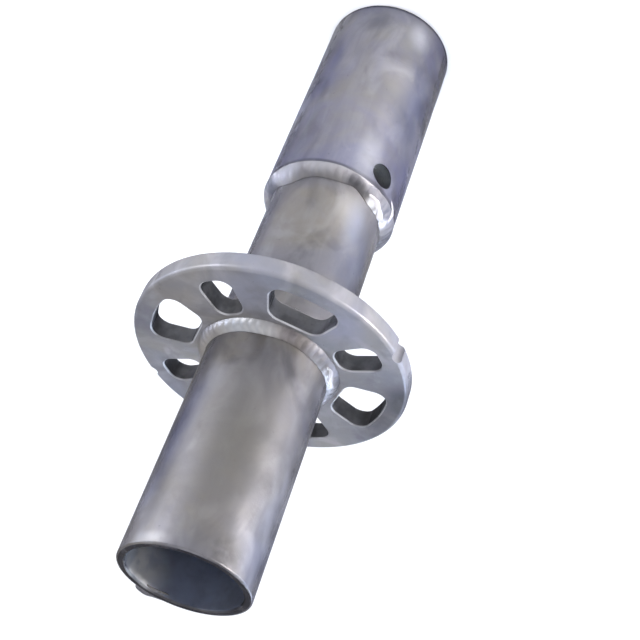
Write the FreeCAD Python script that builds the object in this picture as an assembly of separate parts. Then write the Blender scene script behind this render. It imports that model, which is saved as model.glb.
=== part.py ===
import FreeCAD, Part
import math
import os

# Scaffold base collar: a jack tube, an eight-hole rosette and a socket sleeve, welded together.
# Z runs along the tube. The part stands on the open end of the socket sleeve at Z = 0,
# with the mouth that takes the screw jack at the top. In use it is turned over.

# Jack tube
tube_outer_d = 48.3
tube_wall = 3.2
tube_edge_round = 0.7
mouth_above_rosette = 92.0

# Socket sleeve that takes the foot of a standard, which is the same size as the jack tube
socket_clearance = 1.15
sleeve_wall = 3.2
sleeve_length = 107.0
sleeve_edge_round = 0.8
tube_in_sleeve = 22.0
sleeve_seat_clearance = 0.15

# Free tube between the sleeve and the rosette
neck_length = 75.0

# Rosette
rosette_outer_d = 109.0
rosette_thickness = 8.0
rosette_bore_clearance = 0.15
rosette_rim_round = 1.6
rosette_rim_width = 7.5
wedge_hole_gap_to_weld = 1.6

# Wedge holes: wide ones for angled ledgers, narrow ones for square ledgers.
# The corner limit is the largest corner radius as a share of the depth of a hole's sides.
hole_pairs = 4
wedge_hole_edge_break = 0.5
wedge_hole_corner_limit = 0.4
wide_hole_inner_w = 19.0
wide_hole_outer_w = 29.0
wide_hole_corner = 5.0
narrow_hole_inner_w = 11.0
narrow_hole_outer_w = 13.5
narrow_hole_corner = 4.6

# Alignment notches in the rim, in line with two narrow holes
notch_count = 2
notch_r = 3.0
notch_depth = 2.2

# Fillet welds
rosette_weld_leg = 3.8
sleeve_weld_height = 5.0
sleeve_weld_inset = 0.4
weld_crown = 0.5

# Cross hole through the sleeve and the tube end inside it
cross_hole_d = 11.0
cross_hole_from_edge = 8.5
cross_hole_angle = 242.5

# Derived sizes
tube_outer_r = tube_outer_d / 2
tube_inner_r = tube_outer_r - tube_wall
sleeve_inner_r = tube_outer_r + socket_clearance
sleeve_outer_r = sleeve_inner_r + sleeve_wall
sleeve_seat_r = tube_outer_r + sleeve_seat_clearance
rosette_r = rosette_outer_d / 2
tube_end_z = sleeve_length - tube_in_sleeve
rosette_low_z = sleeve_length + neck_length
rosette_top_z = rosette_low_z + rosette_thickness
mouth_z = rosette_top_z + mouth_above_rosette
wedge_hole_inner_r = tube_outer_r + rosette_weld_leg + wedge_hole_gap_to_weld
wedge_hole_outer_r = rosette_r - rosette_rim_width
sleeve_weld_width = sleeve_outer_r - tube_outer_r - sleeve_edge_round - sleeve_weld_inset
cross_hole_z = sleeve_length - cross_hole_from_edge

origin = FreeCAD.Vector(0, 0, 0)
up = FreeCAD.Vector(0, 0, 1)


def point(x, z):
    """A point in the XZ half-plane that is turned about the tube axis."""
    return FreeCAD.Vector(x, 0, z)


def turned(edges):
    """A solid of revolution about the tube axis from a closed profile."""
    face = Part.Face(Part.Wire(edges))
    return face.revolve(origin, up, 360)


def turned_polygon(points):
    """A solid of revolution from a closed polygon of profile points."""
    return turned(Part.makePolygon(points + points[:1]).Edges)


def circles_at(shape, radius, z):
    """The circular edges of a shape with the given radius and height."""
    found = []
    for edge in shape.Edges:
        curve = edge.Curve
        if not isinstance(curve, Part.Circle):
            continue
        on_axis = math.hypot(curve.Center.x, curve.Center.y) < 1e-6
        same_size = abs(curve.Radius - radius) < 1e-6
        same_height = abs(curve.Center.z - z) < 1e-6
        if on_axis and same_size and same_height:
            found.append(edge)
    return found


def edges_in_plane(shape, z):
    """The edges of a shape that lie wholly at the given height."""
    found = []
    for edge in shape.Edges:
        box = edge.BoundBox
        if abs(box.ZMin - z) < 1e-6 and abs(box.ZMax - z) < 1e-6:
            found.append(edge)
    return found


def cross_drill():
    """The cutter for the cross hole, passing through both walls."""
    reach = sleeve_outer_r + sleeve_wall
    turn = math.radians(cross_hole_angle)
    direction = FreeCAD.Vector(math.cos(turn), math.sin(turn), 0)
    start = FreeCAD.Vector(0, 0, cross_hole_z) - direction * reach
    return Part.makeCylinder(cross_hole_d / 2, 2 * reach, start, direction)


def jack_tube():
    """The tube that runs from inside the sleeve, through the rosette, to the mouth."""
    body = turned_polygon([
        point(tube_inner_r, tube_end_z),
        point(tube_outer_r, tube_end_z),
        point(tube_outer_r, mouth_z),
        point(tube_inner_r, mouth_z),
    ])
    rims = circles_at(body, tube_outer_r, mouth_z) + circles_at(body, tube_inner_r, mouth_z)
    body = body.makeFillet(tube_edge_round, rims)
    return body.cut(cross_drill())


def socket_sleeve():
    """The wider sleeve: a socket bore, and a closer seat round the end of the tube."""
    body = turned_polygon([
        point(sleeve_inner_r, 0),
        point(sleeve_outer_r, 0),
        point(sleeve_outer_r, sleeve_length),
        point(sleeve_seat_r, sleeve_length),
        point(sleeve_seat_r, tube_end_z),
        point(sleeve_inner_r, tube_end_z),
    ])
    rims = circles_at(body, sleeve_outer_r, 0) + circles_at(body, sleeve_inner_r, 0)
    rims += circles_at(body, sleeve_outer_r, sleeve_length)
    body = body.makeFillet(sleeve_edge_round, rims)
    return body.cut(cross_drill())


def wedge_hole(inner_w, outer_w, corner, angle):
    """The cutter for one wedge hole: a trapezoid with an arched outer side and round corners.

    In a shallow hole the corners shrink with the depth of its sides.
    """
    half_in = inner_w / 2
    half_out = outer_w / 2
    shoulder_r = math.sqrt(wedge_hole_outer_r ** 2 - half_out ** 2)
    side_depth = shoulder_r - wedge_hole_inner_r
    corner_r = min(corner, wedge_hole_corner_limit * side_depth)
    inner_right = FreeCAD.Vector(wedge_hole_inner_r, -half_in, rosette_low_z)
    outer_right = FreeCAD.Vector(shoulder_r, -half_out, rosette_low_z)
    outer_crown = FreeCAD.Vector(wedge_hole_outer_r, 0, rosette_low_z)
    outer_left = FreeCAD.Vector(shoulder_r, half_out, rosette_low_z)
    inner_left = FreeCAD.Vector(wedge_hole_inner_r, half_in, rosette_low_z)
    outline = Part.Wire([
        Part.makeLine(inner_right, outer_right),
        Part.Arc(outer_right, outer_crown, outer_left).toShape(),
        Part.makeLine(outer_left, inner_left),
        Part.makeLine(inner_left, inner_right),
    ])
    prism = Part.Face(outline).extrude(up * rosette_thickness)
    uprights = [edge for edge in prism.Edges if edge.BoundBox.ZLength > rosette_thickness / 2]
    prism = prism.makeFillet(corner_r, uprights)
    prism.rotate(origin, up, angle)
    return prism


def rim_notch(angle):
    """The cutter for one alignment notch in the rosette's rim."""
    turn = math.radians(angle)
    centre_r = rosette_r + notch_r - notch_depth
    foot = FreeCAD.Vector(centre_r * math.cos(turn), centre_r * math.sin(turn), rosette_low_z)
    return Part.makeCylinder(notch_r, rosette_thickness, foot, up)


def rosette():
    """The flat ring with wide and narrow wedge holes in turn and a rounded rim."""
    pitch = 360.0 / hole_pairs
    plate = Part.makeCylinder(rosette_r, rosette_thickness, point(0, rosette_low_z), up)
    cutters = []
    for index in range(hole_pairs):
        wide_angle = index * pitch
        narrow_angle = wide_angle + pitch / 2
        cutters.append(wedge_hole(wide_hole_inner_w, wide_hole_outer_w, wide_hole_corner, wide_angle))
        cutters.append(wedge_hole(narrow_hole_inner_w, narrow_hole_outer_w, narrow_hole_corner, narrow_angle))
    plate = plate.cut(Part.makeCompound(cutters))
    rims = circles_at(plate, rosette_r, rosette_low_z) + circles_at(plate, rosette_r, rosette_top_z)
    mouths = edges_in_plane(plate, rosette_low_z) + edges_in_plane(plate, rosette_top_z)
    mouths = [edge for edge in mouths if not any(edge.isSame(rim) for rim in rims)]
    plate = plate.makeChamfer(wedge_hole_edge_break, mouths)
    rims = circles_at(plate, rosette_r, rosette_low_z) + circles_at(plate, rosette_r, rosette_top_z)
    plate = plate.makeFillet(rosette_rim_round, rims)
    notch_pitch = 360.0 / notch_count
    notches = [rim_notch(pitch / 2 + index * notch_pitch) for index in range(notch_count)]
    bore_r = tube_outer_r + rosette_bore_clearance
    bore = Part.makeCylinder(bore_r, rosette_thickness, point(0, rosette_low_z), up)
    return plate.cut(Part.makeCompound(notches + [bore]))


def fillet_weld(z_root, width, height):
    """A weld ring in the corner between the tube and a face at z_root, crowned between its toes."""
    root = point(tube_outer_r, z_root)
    face_toe = point(tube_outer_r + width, z_root)
    tube_toe = point(tube_outer_r, z_root + height)
    slope = math.hypot(width, height)
    outward = point(abs(height), width * math.copysign(1, height)) * (weld_crown / slope)
    crown = (face_toe + tube_toe) * 0.5 + outward
    return turned([
        Part.makeLine(root, face_toe),
        Part.Arc(face_toe, crown, tube_toe).toShape(),
        Part.makeLine(tube_toe, root),
    ])


nodes = {
    "jack_tube": jack_tube(),
    "socket_sleeve": socket_sleeve(),
    "rosette": rosette(),
    "rosette_mouth_weld": fillet_weld(rosette_top_z, rosette_weld_leg, rosette_weld_leg),
    "rosette_neck_weld": fillet_weld(rosette_low_z, rosette_weld_leg, -rosette_weld_leg),
    "sleeve_weld": fillet_weld(sleeve_length, sleeve_weld_width, sleeve_weld_height),
}

os.makedirs("parts", exist_ok=True)
for name, shape in nodes.items():
    shape.exportStep("parts/" + name + ".step")
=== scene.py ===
import logging
import math
from dataclasses import dataclass, replace
from enum import Enum

import bmesh
import bpy
import numpy as np
from mathutils import Matrix, Vector


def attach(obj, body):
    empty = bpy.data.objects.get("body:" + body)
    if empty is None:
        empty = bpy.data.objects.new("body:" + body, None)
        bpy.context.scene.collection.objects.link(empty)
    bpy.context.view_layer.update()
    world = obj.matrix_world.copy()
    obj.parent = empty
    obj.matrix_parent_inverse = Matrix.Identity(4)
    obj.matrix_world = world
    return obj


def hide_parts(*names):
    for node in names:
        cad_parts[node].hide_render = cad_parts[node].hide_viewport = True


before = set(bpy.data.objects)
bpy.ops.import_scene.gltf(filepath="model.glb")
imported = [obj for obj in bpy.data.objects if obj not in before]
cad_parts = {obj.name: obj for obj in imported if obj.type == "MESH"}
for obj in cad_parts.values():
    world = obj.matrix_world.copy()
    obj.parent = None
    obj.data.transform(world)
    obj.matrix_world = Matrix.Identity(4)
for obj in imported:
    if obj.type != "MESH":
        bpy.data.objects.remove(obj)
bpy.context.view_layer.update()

MM = 0.001
LOG = logging.getLogger("base_collar")

Colour = tuple[float, float, float]
Place = tuple[float, float, float]
Pair = tuple[float, float]
Span = tuple[float, float]
Socket = bpy.types.NodeSocket

# Modelled sizes that the finishes, beads and runs refer to, in millimetres
TUBE_R = 24.15
BORE_R = 20.95
SLEEVE_R = 28.5
SLEEVE_TOP = 107.0
ROSETTE_LOW = 182.0
ROSETTE_TOP = 190.0
ROSETTE_MIDDLE = 186.0
ROSETTE_R = 54.5
MOUTH = 282.0
BEAD_ROOT = 106.4
CROSS_HOLE = 98.5

# Depth over which a stain, painted light or painted shade ends at a given distance from the axis, in metres
EDGE_FADE = 0.0006


class BeadSide(Enum):
    """Which way a weld bead climbs from the face it sits on."""

    TOWARDS_MOUTH = 1.0
    TOWARDS_SLEEVE = -1.0


class NodeGraph:
    """A material's node tree with short calls for the nodes that the finishes use."""

    def __init__(self, name: str) -> None:
        """Start an empty tree with one shader and one output.

        Args:
            name: the material's name.
        """
        self.material = bpy.data.materials.new(name)
        self.material.use_nodes = True
        self.tree = self.material.node_tree
        self.tree.nodes.clear()
        self.output = self.tree.nodes.new("ShaderNodeOutputMaterial")
        self.shader = self.tree.nodes.new("ShaderNodeBsdfPrincipled")
        self.tree.links.new(self.shader.outputs["BSDF"], self.output.inputs["Surface"])
        self.coords = self.tree.nodes.new("ShaderNodeTexCoord").outputs["Object"]

    def join(self, source: Socket, target: Socket) -> None:
        """Link one socket to another."""
        self.tree.links.new(source, target)

    def scaled(self, scale: Place, offset: Place = (0, 0, 0)) -> Socket:
        """Object coordinates stretched along each axis.

        Args:
            scale: stretch along X, Y and Z.
            offset: shift along X, Y and Z, added after the stretch.

        Returns:
            The stretched coordinates.
        """
        node = self.tree.nodes.new("ShaderNodeMapping")
        node.inputs["Scale"].default_value = scale
        node.inputs["Location"].default_value = offset
        self.join(self.coords, node.inputs["Vector"])
        return node.outputs["Vector"]

    def noise(
        self, vector: Socket, scale: float, detail: float, rough: float = 0.55, warp: float = 0.0
    ) -> Socket:
        """Fractal noise from 0 to 1.

        Args:
            vector: the coordinates it reads.
            scale: repeats per metre.
            detail: octaves.
            rough: weight of the finer octaves.
            warp: how far the pattern is bent by itself.

        Returns:
            The noise value.
        """
        node = self.tree.nodes.new("ShaderNodeTexNoise")
        node.inputs["Scale"].default_value = scale
        node.inputs["Detail"].default_value = detail
        node.inputs["Roughness"].default_value = rough
        node.inputs["Distortion"].default_value = warp
        self.join(vector, node.inputs["Vector"])
        return node.outputs["Fac"]

    def cells(self, vector: Socket, scale: float) -> Socket:
        """A grey value for each cell of a Voronoi pattern.

        Args:
            vector: the coordinates it reads.
            scale: cells per metre.

        Returns:
            One grey value from 0 to 1 inside each cell.
        """
        node = self.tree.nodes.new("ShaderNodeTexVoronoi")
        node.inputs["Scale"].default_value = scale
        self.join(vector, node.inputs["Vector"])
        split = self.tree.nodes.new("ShaderNodeSeparateColor")
        self.join(node.outputs["Color"], split.inputs["Color"])
        return split.outputs["Red"]

    def spread(self, value: Socket, low: float, high: float, to_low: float, to_high: float) -> Socket:
        """A value carried smoothly from one range to another.

        Args:
            value: the value to carry.
            low: where the first range starts.
            high: where the first range ends.
            to_low: where the second range starts.
            to_high: where the second range ends.

        Returns:
            The value in the second range.
        """
        node = self.tree.nodes.new("ShaderNodeMapRange")
        node.interpolation_type = "SMOOTHSTEP"
        names = ("From Min", "From Max", "To Min", "To Max")
        for name, number in zip(names, (low, high, to_low, to_high)):
            node.inputs[name].default_value = number
        self.join(value, node.inputs["Value"])
        return node.outputs["Result"]

    def rise(self, value: Socket, low: float, high: float, most: float = 1.0) -> Socket:
        """A share that grows from 0 at low to most at high."""
        return self.spread(value, low, high, 0.0, most)

    def fade(self, value: Socket, low: float, high: float) -> Socket:
        """A share that falls from 1 at low to 0 at high."""
        return self.spread(value, low, high, 1.0, 0.0)

    def patches(self, scale: float, low: float, high: float, least: float, rough: float = 0.55) -> Socket:
        """Noise that breaks a stain up, from a least share to 1.

        Args:
            scale: repeats per metre.
            low: noise value at which the share is least.
            high: noise value at which the share is 1.
            least: the smallest share.
            rough: weight of the finer octaves.

        Returns:
            A share from least to 1.
        """
        return self.spread(self.noise(self.coords, scale, 3.0, rough), low, high, least, 1.0)

    def maths(self, kind: str, first: Socket | float, second: Socket | float = 0.0) -> Socket:
        """One step of arithmetic on two values.

        Args:
            kind: the operation's name.
            first: a value or a socket.
            second: a value or a socket.

        Returns:
            The result.
        """
        node = self.tree.nodes.new("ShaderNodeMath")
        node.operation = kind
        for slot, item in zip(node.inputs, (first, second)):
            if isinstance(item, (int, float)):
                slot.default_value = item
            else:
                self.join(item, slot)
        return node.outputs["Value"]

    def product(self, first: Socket, *others: Socket | float) -> Socket:
        """Several values multiplied in turn.

        Args:
            first: a socket.
            others: values or sockets.

        Returns:
            The product.
        """
        result = first
        for other in others:
            result = self.maths("MULTIPLY", result, other)
        return result

    def blend(self, share: Socket, first: Socket | Colour, second: Socket | Colour) -> Socket:
        """Two colours mixed by a share.

        Args:
            share: 0 gives the first colour and 1 the second.
            first: a colour or a socket.
            second: a colour or a socket.

        Returns:
            The mixed colour.
        """
        node = self.tree.nodes.new("ShaderNodeMix")
        node.data_type = "RGBA"
        colour_slots = [slot for slot in node.inputs if slot.type == "RGBA"]
        self.join(share, node.inputs["Factor"])
        for slot, item in zip(colour_slots, (first, second)):
            if isinstance(item, tuple):
                slot.default_value = (*item, 1.0)
            else:
                self.join(item, slot)
        return next(slot for slot in node.outputs if slot.type == "RGBA")

    def axes(self) -> tuple[Socket, Socket, Socket]:
        """The object coordinates one by one.

        Returns:
            X, Y and Z in metres.
        """
        node = self.tree.nodes.new("ShaderNodeSeparateXYZ")
        self.join(self.coords, node.inputs["Vector"])
        return node.outputs["X"], node.outputs["Y"], node.outputs["Z"]

    def radius(self) -> Socket:
        """How far a point lies from the tube axis.

        Returns:
            The distance in metres.
        """
        x, y, _ = self.axes()
        return self.maths("SQRT", self.maths("ADD", self.product(x, x), self.product(y, y)))

    def within(self, limit: float, depth: float = EDGE_FADE) -> Socket:
        """A share that is 1 near the axis and falls to 0 at a limit.

        Args:
            limit: distance from the axis, in metres.
            depth: distance over which it falls, in metres.

        Returns:
            A share from 0 to 1.
        """
        return self.fade(self.radius(), limit - depth, limit)

    def facing_up(self) -> Socket:
        """The upward part of the surface's direction.

        Returns:
            A value from -1 to 1.
        """
        split = self.tree.nodes.new("ShaderNodeSeparateXYZ")
        geometry = self.tree.nodes.new("ShaderNodeNewGeometry")
        self.join(geometry.outputs["Normal"], split.inputs["Vector"])
        return split.outputs["Z"]

    def distance(self, place: Place, stretch: float) -> Socket:
        """Distance from a fixed place on the part, in metres, with heights shrunk.

        Args:
            place: the place, in metres.
            stretch: what heights are divided by.

        Returns:
            The distance.
        """
        node = self.tree.nodes.new("ShaderNodeVectorMath")
        node.operation = "DISTANCE"
        node.inputs[1].default_value = (place[0], place[1], place[2] / stretch)
        self.join(self.scaled((1.0, 1.0, 1.0 / stretch)), node.inputs[0])
        return node.outputs["Value"]

    def relief(self, height: Socket, strength: float, depth: float, under: Socket | None = None) -> Socket:
        """A bump from a height value.

        Args:
            height: the height, from 0 to 1.
            strength: share of the bump that shows.
            depth: the bump's depth in metres.
            under: a bump that this one lies on.

        Returns:
            The bent normal.
        """
        node = self.tree.nodes.new("ShaderNodeBump")
        node.inputs["Strength"].default_value = strength
        node.inputs["Distance"].default_value = depth
        self.join(height, node.inputs["Height"])
        if under is not None:
            self.join(under, node.inputs["Normal"])
        return node.outputs["Normal"]


@dataclass(frozen=True)
class PaintedWallShading:
    """Painted shading on upright walls nearer the axis than a given distance in millimetres, dark as shade
    by default.
    """

    within_r: float
    colour: Colour = (0.048, 0.048, 0.051)
    most: float = 0.85
    upright: Span = (0.35, 0.75)

    def share(self, graph: NodeGraph) -> Socket:
        """How far the painted shading covers the zinc.

        Args:
            graph: the material's nodes.

        Returns:
            A share from 0 to 1.
        """
        inside = graph.within(self.within_r * MM)
        upright = graph.fade(graph.maths("ABSOLUTE", graph.facing_up()), *self.upright)
        patchy = graph.patches(scale=160.0, low=0.35, high=0.65, least=0.7)
        return graph.product(inside, upright, patchy, self.most)


@dataclass(frozen=True)
class StainAndPaintedLight:
    """A soft mark at a place on the part, round or drawn out along the tube, used for a real stain and for
    painted light, shade, highlights and reflections.

    The place is an angle in degrees, and a distance from the axis and a height in millimetres. The mark
    fades out over its reach in millimetres. most is its strength in the middle, stretch draws it out along
    the tube, and even is how little the noise breaks it up. With within_r it stays nearer the axis than
    that, so a mark inside a tube doesn't show outside.
    """

    angle: float
    radius: float
    height: float
    reach: float
    colour: Colour
    most: float
    stretch: float = 1.0
    even: float = 0.25
    within_r: float | None = None

    def share(self, graph: NodeGraph) -> Socket:
        """How strong the mark is, fading out with distance and broken up by noise.

        Args:
            graph: the material's nodes.

        Returns:
            A share from 0 to 1.
        """
        turn = math.radians(self.angle)
        radius = self.radius * MM
        place = (radius * math.cos(turn), radius * math.sin(turn), self.height * MM)
        near = graph.fade(graph.distance(place, self.stretch), 0.0, self.reach * MM)
        if self.within_r is not None:
            near = graph.product(near, graph.within(self.within_r * MM))
        patchy = graph.patches(scale=150.0, low=0.34, high=0.6, least=self.even, rough=0.5)
        return graph.product(near, patchy, self.most)


@dataclass(frozen=True)
class PaintedEdgeHighlight:
    """Painted highlight on narrow slopes between a flat and a wall, within a distance in millimetres."""

    within_r: float
    colour: Colour = (0.42, 0.42, 0.44)
    most: float = 0.8
    slope: float = 0.7
    margin: Span = (0.15, 0.25)

    def share(self, graph: NodeGraph) -> Socket:
        """How strong the painted highlight is: full where the surface leans about half over, broken up by
        noise.

        Args:
            graph: the material's nodes.

        Returns:
            A share from 0 to 1.
        """
        upward = graph.maths("ABSOLUTE", graph.facing_up())
        lean = graph.maths("ABSOLUTE", graph.maths("SUBTRACT", upward, self.slope))
        sloping = graph.fade(lean, *self.margin)
        patchy = graph.patches(scale=75.0, low=0.38, high=0.6, least=0.15)
        return graph.product(sloping, graph.within(self.within_r * MM), patchy, self.most)


@dataclass(frozen=True)
class PaintedEndShade:
    """Painted shade on a sawn end and on the edge round it, with its sizes in millimetres."""

    height: float
    reach: float
    within_r: float
    colour: Colour
    most: float
    full: float = 0.35
    edge: float = 0.4

    def share(self, graph: NodeGraph) -> Socket:
        """How far the painted shade covers the zinc: full at the end and gone at its reach, broken up by
        noise.

        Args:
            graph: the material's nodes.

        Returns:
            A share from 0 to 1.
        """
        off = graph.maths("ABSOLUTE", graph.maths("SUBTRACT", graph.axes()[2], self.height * MM))
        near = graph.fade(off, self.full * self.reach * MM, self.reach * MM)
        inside = graph.within(self.within_r * MM, self.edge * MM)
        patchy = graph.patches(scale=110.0, low=0.34, high=0.6, least=0.7)
        return graph.product(near, inside, patchy, self.most)


Shade = PaintedWallShading | StainAndPaintedLight | PaintedEdgeHighlight | PaintedEndShade


@dataclass(frozen=True)
class Galvanised:
    """Hot-dip zinc: soft clouds of warm and cool grey, faint crystals, runs along the tube, and stains with
    painted light and shade.

    A span is the noise values between which a pattern grows from nothing to full, a share is how strong it
    is, a scale is repeats per metre, and a depth is in metres.
    """

    name: str
    warm: Colour = (0.156, 0.143, 0.126)
    cool: Colour = (0.126, 0.123, 0.138)
    pale: Colour = (0.250, 0.245, 0.256)
    dark: Colour = (0.046, 0.044, 0.050)
    metallic: float = 0.88
    gloss: float = 0.5
    grazing: Colour = (0.07, 0.07, 0.14)
    rough_low: float = 0.36
    rough_high: float = 0.52
    cloud_scale: float = 22.0
    cloud_span: Span = (0.36, 0.64)
    run_stretch: Place = (95.0, 95.0, 7.0)
    run_span: Span = (0.5, 0.74)
    run_share: float = 0.22
    crystal_scale: float = 170.0
    crystal_share: float = 0.07
    patch_stretch: Place = (1.0, 1.0, 0.6)
    patch_shift: Place = (0.31, 0.17, 0.53)
    patch_scale: float = 62.0
    bloom_span: Span = (0.46, 0.68)
    dull_span: Span = (0.48, 0.70)
    patch_share: float = 0.34
    speck_scale: float = 420.0
    speck_span: Span = (0.66, 0.80)
    speck_share: float = 0.55
    sheen_scale: float = 48.0
    sheen_span: Span = (0.3, 0.7)
    wave_scale: float = 60.0
    wave_depth: float = 0.0006
    wave_share: float = 0.5
    grain_scale: float = 900.0
    grain_depth: float = 0.00006
    grain_share: float = 0.6
    shaded: tuple[Shade, ...] = ()

    def tone(self, graph: NodeGraph) -> Socket:
        """The zinc's colour: clouds, runs, crystals, pale and dark patches, specks, and the stains and
        painted light and shade in turn.

        Args:
            graph: the material's nodes.

        Returns:
            The colour.
        """
        clouds = graph.noise(graph.coords, self.cloud_scale, detail=5.0, rough=0.55, warp=0.6)
        tone = graph.blend(graph.rise(clouds, *self.cloud_span), self.warm, self.cool)
        runs = graph.noise(graph.scaled(self.run_stretch), 1.0, detail=4.0, rough=0.6, warp=0.3)
        tone = graph.blend(graph.product(graph.rise(runs, *self.run_span), self.run_share), tone, self.pale)
        crystals = graph.cells(graph.coords, self.crystal_scale)
        tone = graph.blend(graph.product(crystals, self.crystal_share), tone, self.pale)
        here = graph.scaled(self.patch_stretch)
        bloom = graph.noise(here, self.patch_scale, detail=3.0, rough=0.5, warp=1.2)
        tone = graph.blend(graph.rise(bloom, *self.bloom_span, self.patch_share), tone, self.pale)
        shifted = graph.scaled(self.patch_stretch, self.patch_shift)
        dulled = graph.noise(shifted, self.patch_scale, detail=3.0, rough=0.5, warp=1.2)
        tone = graph.blend(graph.rise(dulled, *self.dull_span, self.patch_share), tone, self.dark)
        specks = graph.noise(graph.coords, self.speck_scale, detail=3.0, rough=0.6)
        tone = graph.blend(graph.rise(specks, *self.speck_span, self.speck_share), tone, self.dark)
        for shade in self.shaded:
            tone = graph.blend(shade.share(graph), tone, shade.colour)
        return tone

    def build(self) -> bpy.types.Material:
        """The finish as a material.

        Returns:
            A material on object coordinates.
        """
        graph = NodeGraph(self.name)
        slots = graph.shader.inputs
        graph.join(self.tone(graph), slots["Base Color"])
        slots["Metallic"].default_value = self.metallic
        slots["Specular IOR Level"].default_value = self.gloss
        slots["Specular Tint"].default_value = (*self.grazing, 1.0)
        sheen = graph.noise(graph.coords, self.sheen_scale, detail=4.0, rough=0.6)
        roughness = graph.spread(sheen, *self.sheen_span, self.rough_low, self.rough_high)
        graph.join(roughness, slots["Roughness"])
        swells = graph.noise(graph.coords, self.wave_scale, detail=3.0)
        waves = graph.relief(swells, self.wave_share, self.wave_depth)
        grains = graph.noise(graph.coords, self.grain_scale, detail=3.0, rough=0.65)
        bumps = graph.relief(grains, self.grain_share, self.grain_depth, under=waves)
        graph.join(bumps, slots["Normal"])
        return graph.material

    def lighter(self, times: float, **changes: object) -> "Galvanised":
        """The same finish with its greys multiplied.

        Args:
            times: what each grey is multiplied by.
            changes: other fields to change.

        Returns:
            A new finish.
        """
        keys = ("warm", "cool", "pale", "dark")
        greys = {key: tuple(times * part for part in getattr(self, key)) for key in keys}
        return replace(self, **greys, **changes)


@dataclass(frozen=True)
class FloorPaint:
    """A plain pale floor."""

    name: str = "pale_floor"
    colour: Colour = (0.86, 0.86, 0.86)
    cloud_scale: float = 3.0
    cloud_span: Span = (0.3, 0.7)
    cloud_lift: float = 1.02
    roughness: float = 0.9

    def build(self) -> bpy.types.Material:
        """The floor's material, with a faint cloud in it.

        Returns:
            A material on object coordinates.
        """
        graph = NodeGraph(self.name)
        clouds = graph.noise(graph.coords, self.cloud_scale, detail=2.0)
        shade = graph.rise(clouds, *self.cloud_span)
        lighter = tuple(min(1.0, channel * self.cloud_lift) for channel in self.colour)
        graph.join(graph.blend(shade, self.colour, lighter), graph.shader.inputs["Base Color"])
        graph.shader.inputs["Roughness"].default_value = self.roughness
        return graph.material


def grid_mesh(
    name: str, points: np.ndarray, close_rows: bool = True, close_columns: bool = True
) -> bpy.types.Object:
    """A smooth quad mesh over a grid of points.

    Args:
        name: the object's name.
        points: an array of rows by columns by 3, in metres.
        close_rows: whether the last row joins the first.
        close_columns: whether the last column joins the first.

    Returns:
        The object, linked to the scene, at the origin.
    """
    rows, columns = points.shape[:2]
    row = np.arange(rows if close_rows else rows - 1)[:, None]
    column = np.arange(columns if close_columns else columns - 1)[None, :]
    next_row = (row + 1) % rows
    next_column = (column + 1) % columns
    corners = [row * columns + column, next_row * columns + column]
    corners += [next_row * columns + next_column, row * columns + next_column]
    grid = (row.size, column.size)
    faces = np.stack([np.broadcast_to(item, grid).ravel() for item in corners], axis=1)
    mesh = bpy.data.meshes.new(name)
    mesh.from_pydata(points.reshape(-1, 3), [], faces.tolist())
    mesh.polygons.foreach_set("use_smooth", np.ones(len(mesh.polygons), dtype=bool))
    mesh.update()
    piece = bpy.data.objects.new(name, mesh)
    bpy.context.scene.collection.objects.link(piece)
    return piece


def close_ends(mesh: bpy.types.Mesh) -> None:
    """Merge the points of each pole and turn all faces outwards.

    Args:
        mesh: the mesh to close.
    """
    work = bmesh.new()
    work.from_mesh(mesh)
    bmesh.ops.remove_doubles(work, verts=work.verts, dist=1e-7)
    bmesh.ops.recalc_face_normals(work, faces=work.faces)
    work.to_mesh(mesh)
    work.free()
    mesh.update()


def wave_sum(angle: np.ndarray, seed: int, lowest: int, highest: int) -> np.ndarray:
    """Even noise round a ring: a sum of whole-number sine waves with fixed random phases, from -1 to 1.

    Args:
        angle: angles in radians.
        seed: fixes the phases and weights.
        lowest: fewest waves in a turn.
        highest: most waves in a turn.

    Returns:
        The sum, scaled to a largest value of 1.
    """
    draw = np.random.default_rng(seed)
    counts = np.arange(lowest, highest + 1)
    phases = draw.uniform(0, 2 * np.pi, counts.size)
    weights = draw.uniform(0.4, 1.0, counts.size) / np.sqrt(counts)
    waves = np.sin(angle[..., None] * counts + phases) * weights
    total = waves.sum(axis=-1)
    return total / np.abs(total).max()


@dataclass(frozen=True)
class Lump:
    """A local swelling of a weld bead: its angle and half width in degrees, and its rise in metres."""

    angle: float
    half_width: float
    rise: float

    def lift(self, angle: np.ndarray) -> np.ndarray:
        """The swelling at each angle: its rise times a bell curve of the angle from its middle.

        Args:
            angle: angles in radians.

        Returns:
            The added height in metres.
        """
        off = np.angle(np.exp(1j * (angle - math.radians(self.angle))))
        return self.rise * np.exp(-((off / math.radians(self.half_width)) ** 2))


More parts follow.
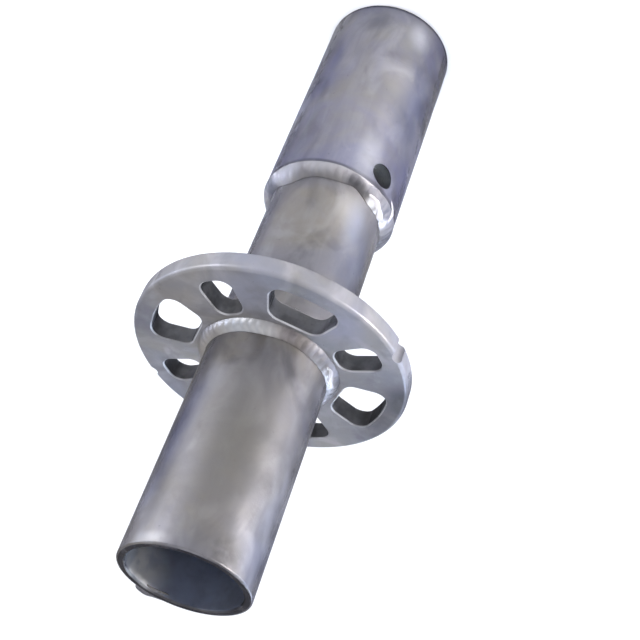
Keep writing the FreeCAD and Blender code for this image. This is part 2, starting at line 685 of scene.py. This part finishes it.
@dataclass(frozen=True)
class WeldBead:
    """A fillet weld ring with overlapping ripples, standing in a corner round the tube.

    Sizes are in metres: width is the leg on the face, and height the leg on the tube. lag and drift bend
    the ripples and change their spacing, in radians, and wander is the share by which the legs vary.
    """

    name: str
    node: str
    root_z: float
    width: float
    height: float
    side: BeadSide
    seed: int
    lumps: tuple[Lump, ...] = ()
    root_r: float = TUBE_R * MM
    crown: float = 0.55 * MM
    ripples: int = 52
    ripple_depth: float = 0.20 * MM
    ripple_middle: float = 0.6
    lag: float = 1.6
    drift: float = 1.5
    drift_waves: tuple[int, int] = (3, 8)
    wander: float = 0.10
    wander_waves: tuple[int, int] = (2, 9)
    turns: int = 720
    across: int = 26

    def surface(self) -> np.ndarray:
        """Points of the bead.

        At each angle the section runs from the toe on the face to the toe on the tube along the straight
        slope, raised by crown times a half sine, plus crescent ripples whose phase lags towards the toes.
        The ripples' spacing drifts by a slow wave, and both legs swell and shrink by slow waves round the
        ring. Lumps add to the leg on the tube. One more row runs through the root.

        Returns:
            An array of angles by section points by 3.
        """
        angle = np.linspace(0, 2 * np.pi, self.turns, endpoint=False)[:, None]
        across = np.linspace(0, 1, self.across)[None, :]
        width = self.width * (1 + self.wander * wave_sum(angle, self.seed, *self.wander_waves))
        height = self.height * (1 + self.wander * wave_sum(angle, self.seed + 1, *self.wander_waves))
        height = height + sum((lump.lift(angle) for lump in self.lumps), np.zeros_like(angle))
        arch = np.sin(np.pi * across)
        lag = self.lag * (2 * across - 1) ** 2
        drift = self.drift * wave_sum(angle, self.seed + 2, *self.drift_waves)
        phase = self.ripples * angle + lag + drift
        ripple = self.ripple_depth * (np.abs(np.sin(phase / 2)) - self.ripple_middle) * arch
        lift = self.crown * arch + ripple
        slope = np.hypot(width, height)
        out = width * (1 - across) + lift * height / slope
        up = height * across + lift * width / slope
        root = np.zeros_like(angle)
        radius = self.root_r + np.concatenate([out, root], axis=1)
        z = self.root_z + self.side.value * np.concatenate([up, root], axis=1)
        return np.stack([radius * np.cos(angle), radius * np.sin(angle), z], axis=-1)

    def build(self, finish: bpy.types.Material) -> bpy.types.Object:
        """Make the bead, dress it and let it stand for its plain ring.

        Args:
            finish: the weld's material.

        Returns:
            The bead.
        """
        points = self.surface()
        if self.side is BeadSide.TOWARDS_SLEEVE:
            points = points[::-1]
        piece = grid_mesh(self.name, points)
        piece.data.materials.append(finish)
        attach(piece, "root")
        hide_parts(self.node)
        return piece


@dataclass(frozen=True)
class ZincRun:
    """A bead of zinc that set on a turned surface, part sunk in it.

    Sizes are in metres: seat lists heights and radii of the surface that carries the run, start and end are
    an angle in degrees and a height, and proud is how far the run stands out of its seat.
    """

    name: str
    slot: str
    seat: tuple[Pair, ...]
    start: Pair
    end: Pair
    half_width: float
    proud: float
    lean: float = 1.0
    fullness: float = 0.6
    sway: float = 0.4
    sway_waves: float = 2.5
    knot: float = 0.3
    knot_waves: float = 3.5
    rows: int = 64
    columns: int = 40

    def surface(self) -> np.ndarray:
        """Points of the run.

        Its middle line goes from start to end in angle and height, swaying sideways by a sine. Along it,
        the section is an ellipse whose size follows one minus a square to the power of the fullness, so
        both ends close; a lean below 1 moves its thickest place towards the start. Its width also shrinks
        and swells by a squared sine, which makes knots. The ellipse lies across the line, half of it inside
        the seat, whose radius is read from the seat's heights and radii.

        Returns:
            An array of places along the line by points of the section by 3.
        """
        along = np.linspace(0, 1, self.rows)[:, None]
        turn = np.linspace(0, 2 * np.pi, self.columns, endpoint=False)[None, :]
        swell = np.clip(1 - (2 * along ** self.lean - 1) ** 2, 0, 1) ** self.fullness
        heights, radii = np.array(self.seat).T
        sweep = math.radians(self.end[0] - self.start[0]) * radii.mean()
        climb = self.end[1] - self.start[1]
        length = math.hypot(sweep, climb)
        sway = self.sway * self.half_width * np.sin(self.sway_waves * np.pi * along)
        knots = 1 - self.knot * np.sin(self.knot_waves * np.pi * along) ** 2
        aside = self.half_width * swell * knots * np.cos(turn) + sway
        across = along * sweep - aside * climb / length
        height = self.start[1] + along * climb + aside * sweep / length
        radius = np.interp(height, heights, radii) + self.proud * swell * np.sin(turn)
        angle = math.radians(self.start[0]) + across / radii.mean()
        return np.stack([radius * np.cos(angle), radius * np.sin(angle), height], axis=-1)

    def build(self, finish: bpy.types.Material) -> bpy.types.Object:
        """Make the run and dress it.

        Args:
            finish: its material.

        Returns:
            The run.
        """
        piece = grid_mesh(self.name, self.surface(), close_rows=False)
        close_ends(piece.data)
        piece.data.materials.append(finish)
        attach(piece, "root")
        return piece


@dataclass
class SteelPiece:
    """A steel piece whose modelled shape stays, and which gets its finish here."""

    node: str
    finish: Galvanised

    def dress(self) -> bpy.types.Object:
        """Give the piece its finish.

        Returns:
            The dressed piece.
        """
        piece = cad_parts[self.node]
        piece.data.materials.clear()
        piece.data.materials.append(self.finish.build())
        return piece


def round_about(azimuth: float, reach: float, height: float) -> Place:
    """A place round the tube axis.

    Args:
        azimuth: degrees from +X towards +Y.
        reach: distance from the axis, in metres.
        height: height above the floor, in metres.

    Returns:
        The place in metres.
    """
    turn = math.radians(azimuth)
    return (reach * math.cos(turn), reach * math.sin(turn), height)


@dataclass(frozen=True)
class SoftBox:
    """A rectangular soft light: its place, what it faces, its sides, watts, tint and beam in degrees."""

    name: str
    at: Place
    to: Place
    size: Pair
    power: float
    colour: Colour = (1.0, 1.0, 1.0)
    beam: float = 180.0

    def hang(self) -> None:
        """Put the light in the scene."""
        lamp = bpy.data.lights.new(self.name, "AREA")
        lamp.shape = "RECTANGLE"
        lamp.size, lamp.size_y = self.size
        lamp.energy = self.power
        lamp.color = self.colour
        lamp.spread = math.radians(self.beam)
        holder = bpy.data.objects.new(self.name, lamp)
        holder.location = self.at
        aim = Vector(self.to) - Vector(self.at)
        holder.rotation_euler = aim.to_track_quat("-Z", "Y").to_euler()
        bpy.context.scene.collection.objects.link(holder)


@dataclass
class Studio:
    """Floor, soft lights and the camera at the photograph's angle."""

    floor_half: float = 4.0
    sky_colour: Colour = (0.93, 0.95, 1.0)
    sky_strength: float = 0.95
    camera_at: Place = (0.038569, -0.365030, 0.432224)
    camera_to: Place = (-0.012486, -0.001755, 0.161364)
    camera_roll: float = math.radians(-159.83)
    lens: float = 65.04
    sensor: float = 36.0

    def floor(self) -> bpy.types.Object:
        """A flat square under the part.

        Returns:
            The floor.
        """
        side = np.linspace(-self.floor_half, self.floor_half, 2)
        x, y = np.meshgrid(side, side, indexing="ij")
        piece = grid_mesh("floor", np.stack([x, y, np.zeros_like(x)], axis=-1), False, False)
        piece.data.materials.append(FloorPaint().build())
        return piece

    def sky(self) -> None:
        """An even sky."""
        world = bpy.data.worlds.new("studio_sky")
        world.use_nodes = True
        sky = world.node_tree.nodes["Background"]
        sky.inputs["Color"].default_value = (*self.sky_colour, 1.0)
        sky.inputs["Strength"].default_value = self.sky_strength
        bpy.context.scene.world = world

    def boxes(self) -> tuple[SoftBox, ...]:
        """The soft boxes: one overhead, one behind, and narrower ones for bands of light along the tubes.

        Returns:
            The lights, not yet in the scene.
        """
        foot = (0.0, 0.0, 0.14)
        on_tube = (0.0, 0.0, 0.25)
        on_face = (0.0, 0.0, 0.19)
        on_sleeve = (0.0, 0.0, 0.06)
        sleeve_foot = (0.0, 0.0, 0.05)
        warm, rosy, neutral = (1.0, 0.97, 0.94), (1.0, 0.98, 0.98), (0.97, 0.97, 1.0)
        pale_blue, clear_blue = (0.95, 0.96, 1.0), (0.86, 0.92, 1.0)
        sky_blue, face_blue, deep_blue = (0.68, 0.77, 1.0), (0.66, 0.80, 1.0), (0.45, 0.62, 1.0)
        return (
            SoftBox("overhead_box", (0.0, 0.1, 2.2), (0.0, 0.1, 0.0), (3.0, 3.0), 18.0),
            SoftBox("band_box", round_about(218, 1.2, 0.22), on_tube, (0.46, 0.3), 1.25, warm, 24),
            SoftBox("left_box", round_about(340, 1.2, 0.18), foot, (0.34, 0.3), 12.0, pale_blue),
            SoftBox("edge_box", round_about(16, 1.2, 0.2), foot, (0.4, 0.3), 8.0, sky_blue),
            SoftBox("back_box", round_about(98, 1.9, 1.5), foot, (1.6, 1.2), 6.0, neutral),
            SoftBox("sleeve_box", round_about(245, 1.0, 0.07), on_sleeve, (0.12, 0.10), 0.24, rosy, 11),
            SoftBox(
                "sleeve_left_box", round_about(28, 1.0, 0.07), sleeve_foot, (0.4, 0.10), 0.55,
                clear_blue, 14,
            ),
            SoftBox("face_box", round_about(140, 1.2, 0.9), on_face, (0.3, 0.3), 0.36, face_blue, 16),
            SoftBox("cool_box", round_about(182, 1.2, 0.2), foot, (0.4, 0.3), 9.0, deep_blue),
        )

    def camera(self) -> None:
        """The camera, aimed at a point on the part and rolled about its line of sight."""
        data = bpy.data.cameras.new("photo_camera")
        data.lens = self.lens
        data.sensor_width = self.sensor
        data.sensor_fit = "HORIZONTAL"
        data.clip_start, data.clip_end = 0.01, 50.0
        place = Vector(self.camera_at)
        forward = (Vector(self.camera_to) - place).normalized()
        level = forward.cross(Vector((0, 0, 1))).normalized()
        above = level.cross(forward)
        right = level * math.cos(self.camera_roll) + above * math.sin(self.camera_roll)
        upright = above * math.cos(self.camera_roll) - level * math.sin(self.camera_roll)
        turn = Matrix((right, upright, -forward)).transposed().to_4x4()
        holder = bpy.data.objects.new("photo_camera", data)
        holder.matrix_world = Matrix.Translation(place) @ turn
        bpy.context.scene.collection.objects.link(holder)
        bpy.context.scene.camera = holder

    def build(self) -> None:
        """Floor, lights and camera, with plain colour handling."""
        self.floor()
        self.sky()
        for box in self.boxes():
            box.hang()
        self.camera()
        bpy.context.scene.view_settings.view_transform = "Standard"


ZINC = Galvanised("zinc")

# Painted light on the cross hole's walls, in the sleeve and in the tube end behind it
PAINTED_HOLE_LIGHT = StainAndPaintedLight(242.5, 24.5, 94.5, 9, (0.90, 0.95, 0.95), most=1.0, even=0.85, within_r=28.4)


def tube_finish() -> Galvanised:
    """Zinc for the jack tube, with painted light inside it, painted shade on its mouth's end, a scuff, and
    painted highlights, reflections and shade seen on it.

    Returns:
        The finish.
    """
    inside_r = 22.0
    # Painted reflection: a warmer grey down the front of the tube
    painted_warm_reflection = StainAndPaintedLight(280, TUBE_R, 238, 27, (0.150, 0.138, 0.110), most=0.6, stretch=1.9, even=0.85)
    # Painted light in the bore: pale blue-grey on its walls, and a near-white pool on the left wall near
    # the mouth
    painted_bore_light = PaintedWallShading(inside_r, (0.30, 0.33, 0.42), most=0.95)
    lit_wall = StainAndPaintedLight(44, BORE_R, 277, 17, (1.0, 0.97, 0.92), most=1.0, even=0.6, within_r=inside_r)
    scuff = StainAndPaintedLight(250, TUBE_R, 278, 12, (0.055, 0.053, 0.055), most=0.95)
    # Painted highlight along the outer lip of the mouth
    painted_lip_highlight = StainAndPaintedLight(315, TUBE_R, 279.8, 9, (0.30, 0.30, 0.31), most=0.5, stretch=0.4, even=0.85)
    # Painted shade on the mouth's end face and its inner edge
    painted_mouth_shade = PaintedEndShade(MOUTH, 1.1, 23.6, (0.040, 0.039, 0.042), most=0.92)
    # Painted highlight: a pale streak on the neck
    painted_neck_highlight = StainAndPaintedLight(259, TUBE_R, 121, 8, (0.30, 0.29, 0.28), most=0.5, stretch=1.8, even=0.85)
    # Painted reflections: blue down the right of the neck and down the left of the tube
    painted_neck_reflection = StainAndPaintedLight(232, TUBE_R, 138, 17, (0.088, 0.100, 0.150), most=0.55, stretch=2.4, even=0.7)
    painted_left_reflection = StainAndPaintedLight(337, TUBE_R, 236, 11, (0.088, 0.092, 0.130), most=0.65, stretch=5.0, even=0.75)
    # Painted highlight: a pale blue band on the neck
    painted_neck_blue_highlight = StainAndPaintedLight(246, TUBE_R, 126, 8, (0.24, 0.252, 0.308), most=0.6, stretch=2.2, even=0.85)
    # Painted shade dimming the highlight on the left above the mouth
    painted_left_shade = StainAndPaintedLight(321, TUBE_R, 263, 10, (0.078, 0.072, 0.064), most=0.55, stretch=1.8, even=0.85)
    mouth = (painted_warm_reflection, painted_bore_light, lit_wall, scuff, painted_lip_highlight, painted_mouth_shade)
    neck_and_sides = (painted_neck_highlight, painted_neck_reflection, PAINTED_HOLE_LIGHT, painted_left_reflection, painted_neck_blue_highlight, painted_left_shade)
    return replace(ZINC, name="tube_zinc", shaded=mouth + neck_and_sides)


def sleeve_finish() -> Galvanised:
    """Bluer and smoother zinc for the socket sleeve, with painted shade at its ends, a darker patch at its
    foot, and painted light, highlights and reflections seen on it.

    Returns:
        The finish.
    """
    past_sleeve = 30.0
    # Painted reflection: blue down the right of the sleeve
    painted_side_reflection = StainAndPaintedLight(232, SLEEVE_R, 52, 18, (0.080, 0.090, 0.150), most=0.7, stretch=3.2, even=0.7)
    # Painted light on the front of the sleeve's foot
    painted_end_light = StainAndPaintedLight(286, SLEEVE_R, 5, 30, (0.21, 0.21, 0.22), most=0.45, even=0.85)
    # Painted shade on the sleeve's foot end and at its step under the bead
    painted_foot_shade = PaintedEndShade(0.0, 2.6, past_sleeve, (0.030, 0.030, 0.042), most=0.9)
    painted_step_shade = PaintedEndShade(BEAD_ROOT, 2.4, past_sleeve, (0.050, 0.050, 0.060), most=0.75)
    # Painted highlights: a pale band along the sleeve and a bright spot near its foot
    painted_highlight_band = StainAndPaintedLight(262, SLEEVE_R, 95, 9, (0.30, 0.30, 0.31), most=0.6, stretch=2.4, even=0.85)
    painted_foot_highlight = StainAndPaintedLight(255, SLEEVE_R, 12, 8, (0.40, 0.40, 0.42), most=0.6, stretch=1.6, even=0.85)
    grey_foot = StainAndPaintedLight(297, SLEEVE_R, 12, 11, (0.070, 0.072, 0.090), most=0.55, even=0.85)
    # Painted light on the lower lip of the cross hole
    painted_hole_lip_light = StainAndPaintedLight(234, 27.4, CROSS_HOLE, 5, (0.26, 0.27, 0.31), most=0.6, stretch=1.8, even=0.85)
    # Painted shade on the sleeve's top edge under the bead's toe
    painted_sleeve_toe_shade = StainAndPaintedLight(240, 28.4, SLEEVE_TOP, 6, (0.060, 0.060, 0.068), most=0.85, even=0.7)
    ends = (painted_side_reflection, painted_end_light, painted_foot_shade, painted_step_shade)
    spots = (painted_highlight_band, painted_foot_highlight, grey_foot, painted_hole_lip_light, painted_sleeve_toe_shade, PAINTED_HOLE_LIGHT)
    bluer = replace(ZINC, warm=(0.140, 0.133, 0.128), cool=(0.112, 0.112, 0.158))
    return bluer.lighter(1.12, name="sleeve_zinc", rough_low=0.31, rough_high=0.44, shaded=ends + spots)


def rosette_finish() -> Galvanised:
    """Duller zinc for the rosette, painted paler as lit zinc, with painted light on its face, painted shade
    on its rim and hole walls, and painted highlights on its hole edges.

    Returns:
        The finish.
    """
    hole_outer_r = 50.5
    shades = (
        # Painted light: a paler face in front of the tube
        StainAndPaintedLight(297, 41, ROSETTE_TOP, 20, (0.29, 0.30, 0.37), most=0.7, even=0.6),
        StainAndPaintedLight(254, 43, ROSETTE_TOP, 20, (0.27, 0.27, 0.34), most=0.6, even=0.7),
        # Painted shade on the rim, dimming its highlights
        StainAndPaintedLight(2, ROSETTE_R, ROSETTE_MIDDLE, 34, (0.080, 0.080, 0.098), most=0.7, even=0.75),
        StainAndPaintedLight(180, ROSETTE_R, ROSETTE_MIDDLE, 40, (0.070, 0.069, 0.074), most=0.75, even=0.75),
        StainAndPaintedLight(197, 55.5, ROSETTE_MIDDLE, 16, (0.030, 0.030, 0.034), most=0.9, even=0.8),
        # Painted shade in the hole walls, and painted highlights on the hole edges
        PaintedWallShading(hole_outer_r),
        PaintedEdgeHighlight(hole_outer_r + 1.0),
    )
    bluer = replace(ZINC, warm=(0.150, 0.143, 0.136), cool=(0.122, 0.124, 0.144))
    # The greys 1.38 times lighter are painted light: a lit copy of the tube's zinc
    return bluer.lighter(1.38, name="rosette_zinc", metallic=0.35, gloss=0.0, shaded=shades)


def sleeve_weld_finish() -> Galvanised:
    """Rough zinc for the sleeve's weld, with a painted highlight at the left, a painted undercut shadow
    near the cross hole, painted highlights beyond it, and painted shade at its toe, its right part and its
    sides.

    Returns:
        The finish.
    """
    dim, shadow_grey, highlight_white = (0.125, 0.121, 0.122), (0.042, 0.042, 0.047), (0.62, 0.62, 0.65)
    # Painted highlights on the left of the bead
    painted_weld_left_highlight = (
        StainAndPaintedLight(325, 27.0, 109, 8, (0.13, 0.13, 0.145), most=0.8, even=0.6),
        StainAndPaintedLight(298, 27.5, 108, 8, (0.17, 0.17, 0.18), most=0.7, even=0.6),
    )
    # Painted shade along the bead's toe on the tube
    toe_places = (
        (340, 111.8, 4.5), (324, 112.8, 4.2), (310, 111.6, 3.8),
        (297, 110.6, 3.6), (288, 110.4, 3.6), (279, 110.4, 3.6),
    )
    painted_tube_toe_shade = tuple(
        StainAndPaintedLight(angle, 24.4, height, reach, dim, most=0.9, even=0.7) for angle, height, reach in toe_places
    )
    # Painted shadow of the undercut near the cross hole
    painted_undercut_shadow = (
        StainAndPaintedLight(269, 27.6, 108, 5, shadow_grey, most=0.85, even=0.5),
        StainAndPaintedLight(259, 26.6, 109.5, 7, shadow_grey, most=0.9, even=0.5),
        StainAndPaintedLight(250, 25.6, 111, 5, shadow_grey, most=0.85, even=0.5),
    )
    # Painted shade on the right of the bead, dimming the light on it
    painted_weld_right_shade = (
        StainAndPaintedLight(222, 27.6, 108.5, 7, (0.070, 0.070, 0.080), most=0.9, even=0.7),
        StainAndPaintedLight(234, 28.0, 107.5, 6, (0.060, 0.060, 0.070), most=0.9, even=0.7),
        StainAndPaintedLight(246, 28.2, 107.5, 5, (0.060, 0.060, 0.070), most=0.9, even=0.7),
    )
    # Painted highlights on the toe beyond the cross hole
    painted_toe_highlight = (
        StainAndPaintedLight(240, 25.0, 112.0, 3.5, highlight_white, most=0.6, even=0.7),
        StainAndPaintedLight(226, 24.9, 113.0, 3.5, highlight_white, most=0.8, even=0.7),
        StainAndPaintedLight(213, 25.3, 112.5, 3.5, highlight_white, most=0.8, even=0.7),
    )
    # Painted shade at the bead's sides
    dark_sides = (
        StainAndPaintedLight(358, 27.0, 109.5, 10, (0.045, 0.045, 0.058), most=0.9, even=0.7),
        StainAndPaintedLight(186, 27.0, 109.5, 10, (0.050, 0.050, 0.064), most=0.9, even=0.7),
    )
    shades = painted_weld_left_highlight + painted_tube_toe_shade + painted_undercut_shadow + painted_weld_right_shade + painted_toe_highlight + dark_sides
    return ZINC.lighter(
        0.95, name="sleeve_weld_zinc", metallic=0.6, rough_low=0.5, rough_high=0.66, shaded=shades
    )


def rosette_weld_finish() -> Galvanised:
    """Brighter zinc for the rosette's weld on the mouth side, with a painted highlight arc and painted
    shade in places.

    Returns:
        The finish.
    """
    middle = (26.5, 191.5)
    shades = (
        # Painted highlight: the pale arc
        StainAndPaintedLight(306, *middle, 17, (0.33, 0.34, 0.36), most=0.95, even=0.7),
        # Painted shade: the three darker places
        StainAndPaintedLight(262, *middle, 13, (0.060, 0.050, 0.060), most=0.8, even=0.6),
        StainAndPaintedLight(232, *middle, 12, (0.075, 0.072, 0.080), most=0.8, even=0.6),
        StainAndPaintedLight(195, *middle, 16, (0.075, 0.075, 0.085), most=0.8, even=0.6),
    )
    return ZINC.lighter(1.6, name="rosette_weld_zinc", metallic=0.6, shaded=shades)


def weld_beads() -> dict[WeldBead, Galvanised]:
    """The three weld beads with their finishes.

    Returns:
        A finish for each bead.
    """
    leg = 3.8 * MM
    up, down = BeadSide.TOWARDS_MOUTH, BeadSide.TOWARDS_SLEEVE
    lumps = (
        Lump(326, 15, 2.6 * MM), Lump(238, 13, 1.8 * MM), Lump(205, 22, 2.8 * MM), Lump(262, 9, -1.0 * MM)
    )
    mouth_side = WeldBead("mouth_side_bead", "rosette_mouth_weld", ROSETTE_TOP * MM, leg, leg, up, seed=3)
    neck_side = WeldBead("neck_side_bead", "rosette_neck_weld", ROSETTE_LOW * MM, leg, leg, down, seed=11)
    sleeve = WeldBead(
        "sleeve_bead", "sleeve_weld", BEAD_ROOT * MM, 4.5 * MM, 4.6 * MM, up, seed=23, lumps=lumps,
        crown=0.65 * MM, wander=0.05,
    )
    return {
        mouth_side: rosette_weld_finish(),
        neck_side: ZINC.lighter(1.0, name="hidden_weld_zinc"),
        sleeve: sleeve_weld_finish(),
    }


def zinc_runs() -> dict[ZincRun, Galvanised]:
    """The blob on the mouth's far lip and the three runs on the welds, with their finishes; the runs'
    bright finish is a painted highlight.

    Each seat lists heights and radii of the surface that carries a run.

    Returns:
        A finish for each run.
    """
    # The runs' finish, 1.8 times lighter, is a painted highlight
    bright = ZINC.lighter(1.8, name="highlight_zinc", metallic=0.6, rough_low=0.42, rough_high=0.58)
    dull = ZINC.lighter(0.8, name="dull_zinc", metallic=0.6)
    tube_wall = ((0.0, TUBE_R * MM), (MOUTH * MM, TUBE_R * MM))
    sleeve_rim = (
        (0.0, 28.4 * MM), (106.2 * MM, 28.4 * MM), (106.5 * MM, 28.5 * MM), (108.4 * MM, 27.75 * MM),
        (110.2 * MM, 26.75 * MM), (111.8 * MM, 25.4 * MM), (113.3 * MM, 24.1 * MM),
    )
    rosette_fillet = ((ROSETTE_TOP * MM, 28.4 * MM), (192.2 * MM, 26.7 * MM), (194 * MM, 24.6 * MM))
    lip = 280.6 * MM
    drip = ZincRun(
        "mouth_drip", "tube_steel", tube_wall, (61, lip), (104, lip), 1.0 * MM, 4.2 * MM, lean=0.5
    )
    toe = ZincRun(
        "toe_run", "weld_metal", sleeve_rim, (247, 110.4 * MM), (205, 112.2 * MM), 1.3 * MM, 0.45 * MM
    )
    sleeve = ZincRun(
        "sleeve_run", "weld_metal", sleeve_rim, (205, 112.4 * MM), (222, 102.6 * MM), 1.2 * MM, 0.5 * MM
    )
    weld = ZincRun(
        "weld_run", "weld_metal", rosette_fillet, (226, 192.4 * MM), (196, 193.0 * MM), 0.8 * MM, 0.6 * MM
    )
    return {drip: dull, toe: bright, sleeve: bright, weld: bright}


def main() -> None:
    """Dress the modelled pieces, lay the weld beads, set the zinc runs and build the studio."""
    logging.basicConfig(level=logging.INFO)
    finishes = {"jack_tube": tube_finish(), "socket_sleeve": sleeve_finish(), "rosette": rosette_finish()}
    for node, finish in finishes.items():
        piece = SteelPiece(node, finish).dress()
        LOG.info("dressed %s", piece.name)
    for bead, finish in weld_beads().items():
        piece = bead.build(finish.build())
        LOG.info("laid %s", piece.name)
    runs = zinc_runs()
    materials = {finish.name: finish.build() for finish in dict.fromkeys(runs.values())}
    for run, finish in runs.items():
        piece = run.build(materials[finish.name])
        LOG.info("set %s", piece.name)
    Studio().build()


if __name__ == "__main__":
    main()
